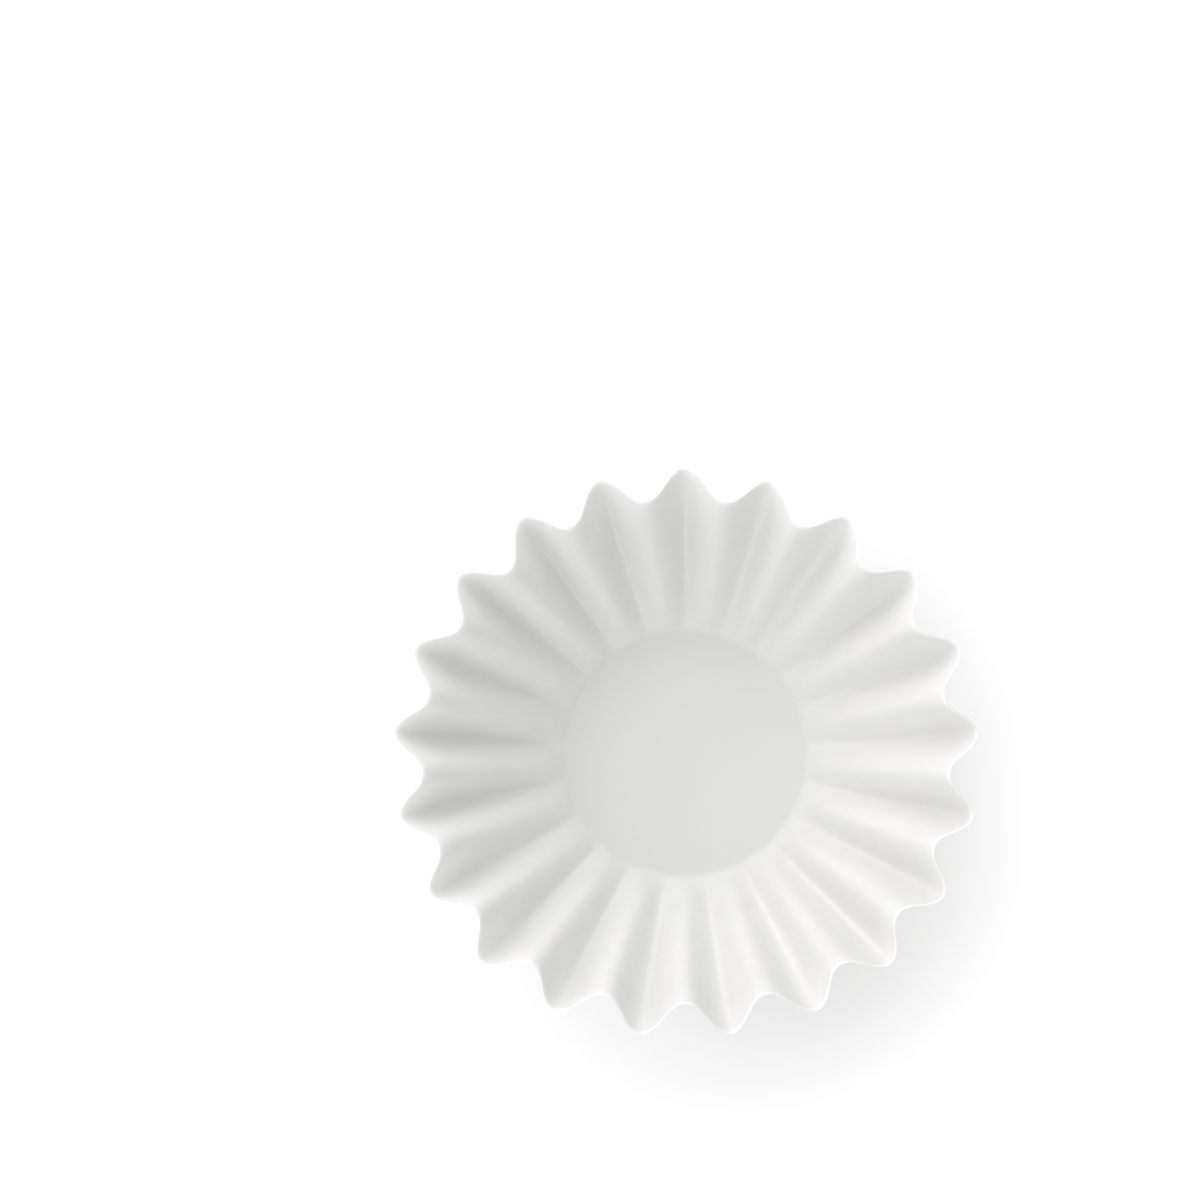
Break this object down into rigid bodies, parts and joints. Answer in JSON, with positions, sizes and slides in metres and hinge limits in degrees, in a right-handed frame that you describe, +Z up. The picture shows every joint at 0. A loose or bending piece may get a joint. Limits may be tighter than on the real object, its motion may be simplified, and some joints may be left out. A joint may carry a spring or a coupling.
{
  "type": "paper coffee filter",
  "caption": "Flat-bottomed basket coffee filter: one round sheet of white paper pressed into an open cup with a fluted wall and a rim that flares out.",
  "frame": {"origin": "middle of the flat base's underside, on the table it stands on", "axes": "+Z up along the cup's axis, out of its mouth; -Y is the front, with a flute's trough in the middle of it"},
  "size_m": [0.1762, 0.1704, 0.0533],
  "materials": {
    "paper": "matt"
  },
  "bodies": {
    "root": {"filter": "paper"}
  },
  "joints": []
}
